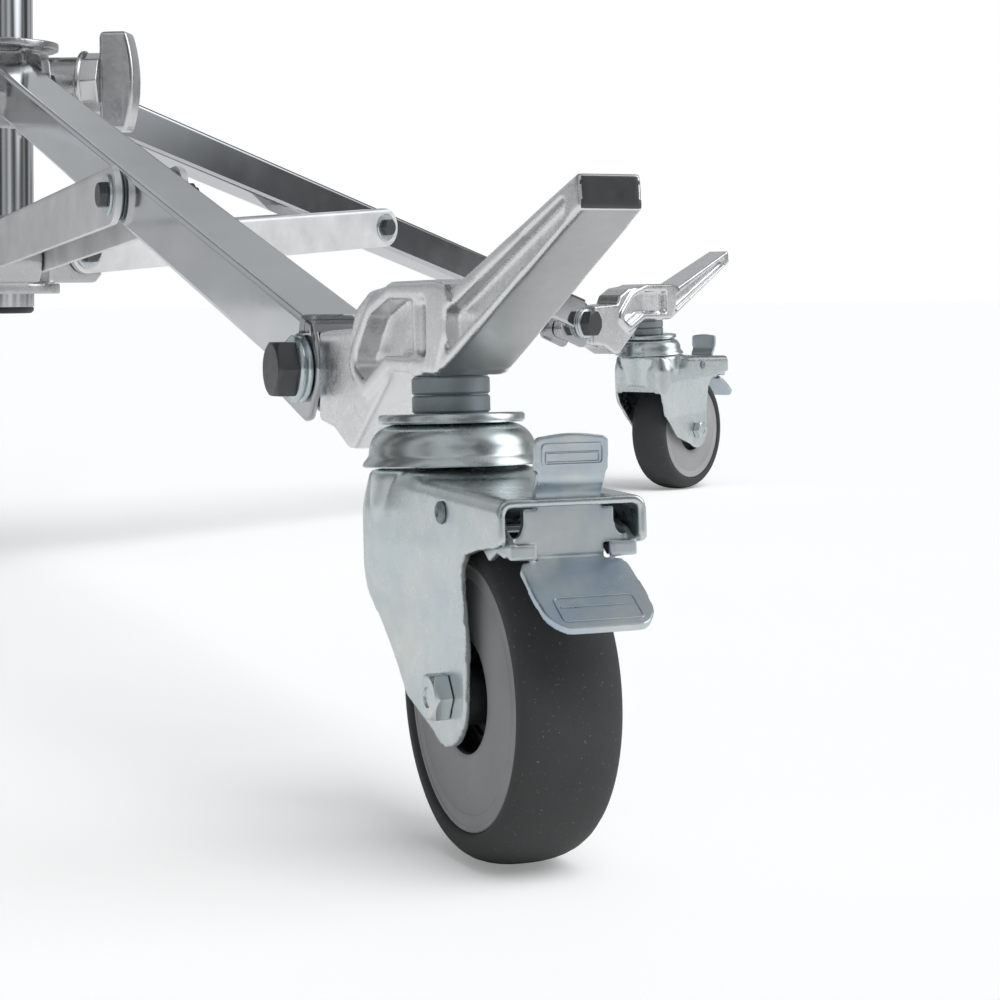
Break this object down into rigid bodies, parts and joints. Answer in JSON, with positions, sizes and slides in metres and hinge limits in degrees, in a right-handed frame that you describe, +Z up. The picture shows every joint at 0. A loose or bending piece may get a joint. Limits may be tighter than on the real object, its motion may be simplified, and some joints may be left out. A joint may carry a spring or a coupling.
{
  "type": "rolling overhead stand",
  "caption": "Tall telescopic stand on folding tubular legs with upturned cast feet and braked swivel casters; a clamped socket on top takes a spigot.",
  "frame": {"origin": "on the floor, in the middle of the footprint", "axes": "+Z up along the column, +X along leg 1 outwards from the column, +Y to its left"},
  "size_m": [1.2499, 1.4412, 1.6625],
  "materials": {
    "chrome_tube": "polished chrome plate",
    "cast_aluminium": "bright die-cast, satin",
    "brace_aluminium": "satin",
    "zinc_steel": "bright zinc plate",
    "spacer_steel": "matt zinc plate",
    "dark_steel": "dark plated steel",
    "handle_metal": "grey, satin",
    "hub_plastic": "moulded",
    "tyre_rubber": "charcoal rubber",
    "nylon": "moulded"
  },
  "bodies": {
    "column": {"column_tube": "chrome_tube", "column_base": "cast_aluminium", "base_pins": "dark_steel", "base_cap": "nylon", "column_clamp": "cast_aluminium", "column_bush": "nylon"},
    "collar": {"leg_collar": "cast_aluminium", "collar_pins": "dark_steel"},
    "collar_screw": {"collar_handle": "handle_metal"},
    "column_screw": {"column_handle": "handle_metal"},
    "lower_riser": {"riser_1": "chrome_tube", "riser_clamp": "cast_aluminium", "riser_bush": "nylon"},
    "riser_screw": {"riser_handle": "handle_metal"},
    "upper_riser": {"riser_2": "chrome_tube", "top_socket": "cast_aluminium"},
    "top_screw": {"top_handle": "handle_metal"},
    "brace_arm_1": {"brace_1": "brace_aluminium", "brace_pin_1": "dark_steel"},
    "leg_1": {"leg_tube_1": "chrome_tube", "leg_yoke_1": "chrome_tube", "foot_casting_1": "cast_aluminium", "foot_bolt_1": "dark_steel", "caster_stem_1": "spacer_steel", "swivel_cap_1": "zinc_steel"},
    "caster_1": {"fork_1": "zinc_steel", "brake_pivot_1": "spacer_steel", "axle_1": "zinc_steel"},
    "pedal_1": {"brake_pedal_1": "zinc_steel"},
    "wheel_1": {"hub_1": "hub_plastic", "tyre_1": "tyre_rubber"},
    "brace_arm_2": {"brace_2": "brace_aluminium", "brace_pin_2": "dark_steel"},
    "leg_2": {"leg_tube_2": "chrome_tube", "leg_yoke_2": "chrome_tube", "foot_casting_2": "cast_aluminium", "foot_bolt_2": "dark_steel", "caster_stem_2": "spacer_steel", "swivel_cap_2": "zinc_steel"},
    "caster_2": {"fork_2": "zinc_steel", "brake_pivot_2": "spacer_steel", "axle_2": "zinc_steel"},
    "pedal_2": {"brake_pedal_2": "zinc_steel"},
    "wheel_2": {"hub_2": "hub_plastic", "tyre_2": "tyre_rubber"},
    "brace_arm_3": {"brace_3": "brace_aluminium", "brace_pin_3": "dark_steel"},
    "leg_3": {"leg_tube_3": "chrome_tube", "leg_yoke_3": "chrome_tube", "foot_casting_3": "cast_aluminium", "foot_bolt_3": "dark_steel", "caster_stem_3": "spacer_steel", "swivel_cap_3": "zinc_steel"},
    "caster_3": {"fork_3": "zinc_steel", "brake_pivot_3": "spacer_steel", "axle_3": "zinc_steel"},
    "pedal_3": {"brake_pedal_3": "zinc_steel"},
    "wheel_3": {"hub_3": "hub_plastic", "tyre_3": "tyre_rubber"}
  },
  "joints": [
    {"name": "collar_slide", "type": "slide", "parent": "column", "child": "collar", "axis": [0, 0, 1], "range_m": [0, 0.4788]},
    {"name": "collar_screw_turn", "type": "hinge", "parent": "collar", "child": "collar_screw", "pos_m": [-0.17214, 0.05196, 0.29149], "axis": [0.5, 0.866, 0], "range_deg": [0, 540]},
    {"name": "column_screw_turn", "type": "hinge", "parent": "column", "child": "column_screw", "pos_m": [-0.17214, 0.05196, 1.47195], "axis": [0.5, 0.866, 0], "range_deg": [0, 540]},
    {"name": "lower_riser_slide", "type": "slide", "parent": "column", "child": "lower_riser", "axis": [0, 0, 1], "range_m": [0, 1.05]},
    {"name": "riser_screw_turn", "type": "hinge", "parent": "lower_riser", "child": "riser_screw", "pos_m": [-0.17214, 0.05196, 1.54025], "axis": [0.5, 0.866, 0], "range_deg": [0, 540]},
    {"name": "upper_riser_slide", "type": "slide", "parent": "lower_riser", "child": "upper_riser", "axis": [0, 0, 1], "range_m": [0, 1.05]},
    {"name": "top_screw_turn", "type": "hinge", "parent": "upper_riser", "child": "top_screw", "pos_m": [-0.17214, 0.05196, 1.63155], "axis": [0.5, 0.866, 0], "range_deg": [0, 540]},
    {"name": "brace_fold_1", "type": "hinge", "parent": "column", "child": "brace_arm_1", "pos_m": [-0.14014, 0, 0.19345], "axis": [0, -1, 0], "range_deg": [0, 76.06]},
    {"name": "leg_fold_1", "type": "hinge", "parent": "brace_arm_1", "child": "leg_1", "pos_m": [0.14475, 0, 0.21288], "axis": [0, 1, 0], "range_deg": [0, 141.96]},
    {"name": "caster_swivel_1", "type": "hinge", "parent": "leg_1", "child": "caster_1", "pos_m": [0.50986, 0, 0.12905], "axis": [-0.0523, 0, 0.9986], "continuous": true},
    {"name": "brake_1", "type": "hinge", "parent": "caster_1", "child": "pedal_1", "pos_m": [0.55771, 0, 0.10452], "axis": [0, 1, 0], "range_deg": [0, 4.5]},
    {"name": "wheel_spin_1", "type": "hinge", "parent": "caster_1", "child": "wheel_1", "pos_m": [0.55306, 0, 0.05], "axis": [0, 1, 0], "continuous": true},
    {"name": "brace_fold_2", "type": "hinge", "parent": "column", "child": "brace_arm_2", "pos_m": [-0.23314, 0.05369, 0.19345], "axis": [0.866, 0.5, 0], "range_deg": [0, 76.06]},
    {"name": "leg_fold_2", "type": "hinge", "parent": "brace_arm_2", "child": "leg_2", "pos_m": [-0.37558, 0.30042, 0.21288], "axis": [-0.866, -0.5, 0], "range_deg": [0, 141.96]},
    {"name": "caster_swivel_2", "type": "hinge", "parent": "leg_2", "child": "caster_2", "pos_m": [-0.55814, 0.61661, 0.12905], "axis": [0.0262, -0.0453, 0.9986], "continuous": true},
    {"name": "brake_2", "type": "hinge", "parent": "caster_2", "child": "pedal_2", "pos_m": [-0.58206, 0.65805, 0.10452], "axis": [-0.866, -0.5, 0], "range_deg": [0, 4.5]},
    {"name": "wheel_spin_2", "type": "hinge", "parent": "caster_2", "child": "wheel_2", "pos_m": [-0.57973, 0.65402, 0.05], "axis": [-0.866, -0.5, 0], "continuous": true},
    {"name": "brace_fold_3", "type": "hinge", "parent": "column", "child": "brace_arm_3", "pos_m": [-0.23314, -0.05369, 0.19345], "axis": [-0.866, 0.5, 0], "range_deg": [0, 76.06]},
    {"name": "leg_fold_3", "type": "hinge", "parent": "brace_arm_3", "child": "leg_3", "pos_m": [-0.37558, -0.30042, 0.21288], "axis": [0.866, -0.5, 0], "range_deg": [0, 141.96]},
    {"name": "caster_swivel_3", "type": "hinge", "parent": "leg_3", "child": "caster_3", "pos_m": [-0.55814, -0.61661, 0.12905], "axis": [0.0262, 0.0453, 0.9986], "continuous": true},
    {"name": "brake_3", "type": "hinge", "parent": "caster_3", "child": "pedal_3", "pos_m": [-0.58206, -0.65805, 0.10452], "axis": [0.866, -0.5, 0], "range_deg": [0, 4.5]},
    {"name": "wheel_spin_3", "type": "hinge", "parent": "caster_3", "child": "wheel_3", "pos_m": [-0.57973, -0.65402, 0.05], "axis": [0.866, -0.5, 0], "continuous": true}
  ],
  "couplings": [
    {"joint": "brace_fold_1", "follows": "collar_slide", "rad_per_m": 2.7706},
    {"joint": "leg_fold_1", "follows": "collar_slide", "rad_per_m": 5.1728},
    {"joint": "brace_fold_2", "follows": "collar_slide", "rad_per_m": 2.7706},
    {"joint": "leg_fold_2", "follows": "collar_slide", "rad_per_m": 5.1728},
    {"joint": "brace_fold_3", "follows": "collar_slide", "rad_per_m": 2.7706},
    {"joint": "leg_fold_3", "follows": "collar_slide", "rad_per_m": 5.1728}
  ]
}
